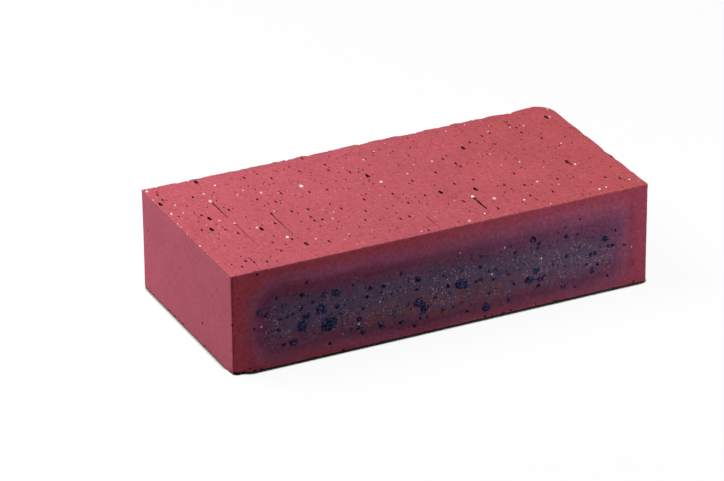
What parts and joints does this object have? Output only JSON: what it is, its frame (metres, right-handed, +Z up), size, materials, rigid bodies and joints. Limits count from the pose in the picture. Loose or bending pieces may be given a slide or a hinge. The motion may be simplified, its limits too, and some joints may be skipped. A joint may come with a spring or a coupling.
{
  "type": "solid clay brick",
  "caption": "Solid fired clay facing brick with wire-cut beds, smooth die-pressed faces and a dark iron-spotted flash on one stretcher, for laying in mortar.",
  "frame": {"origin": "middle of the lower bed face, on the surface that the brick lies on", "axes": "+X along the length from the left header to the right header, +Y along the width from the flashed front stretcher to the back stretcher, +Z up from the lower bed to the upper bed"},
  "size_m": [0.228, 0.108, 0.054],
  "materials": {
    "fired_clay": "matte"
  },
  "bodies": {
    "root": {"brick": "fired_clay"}
  },
  "joints": []
}
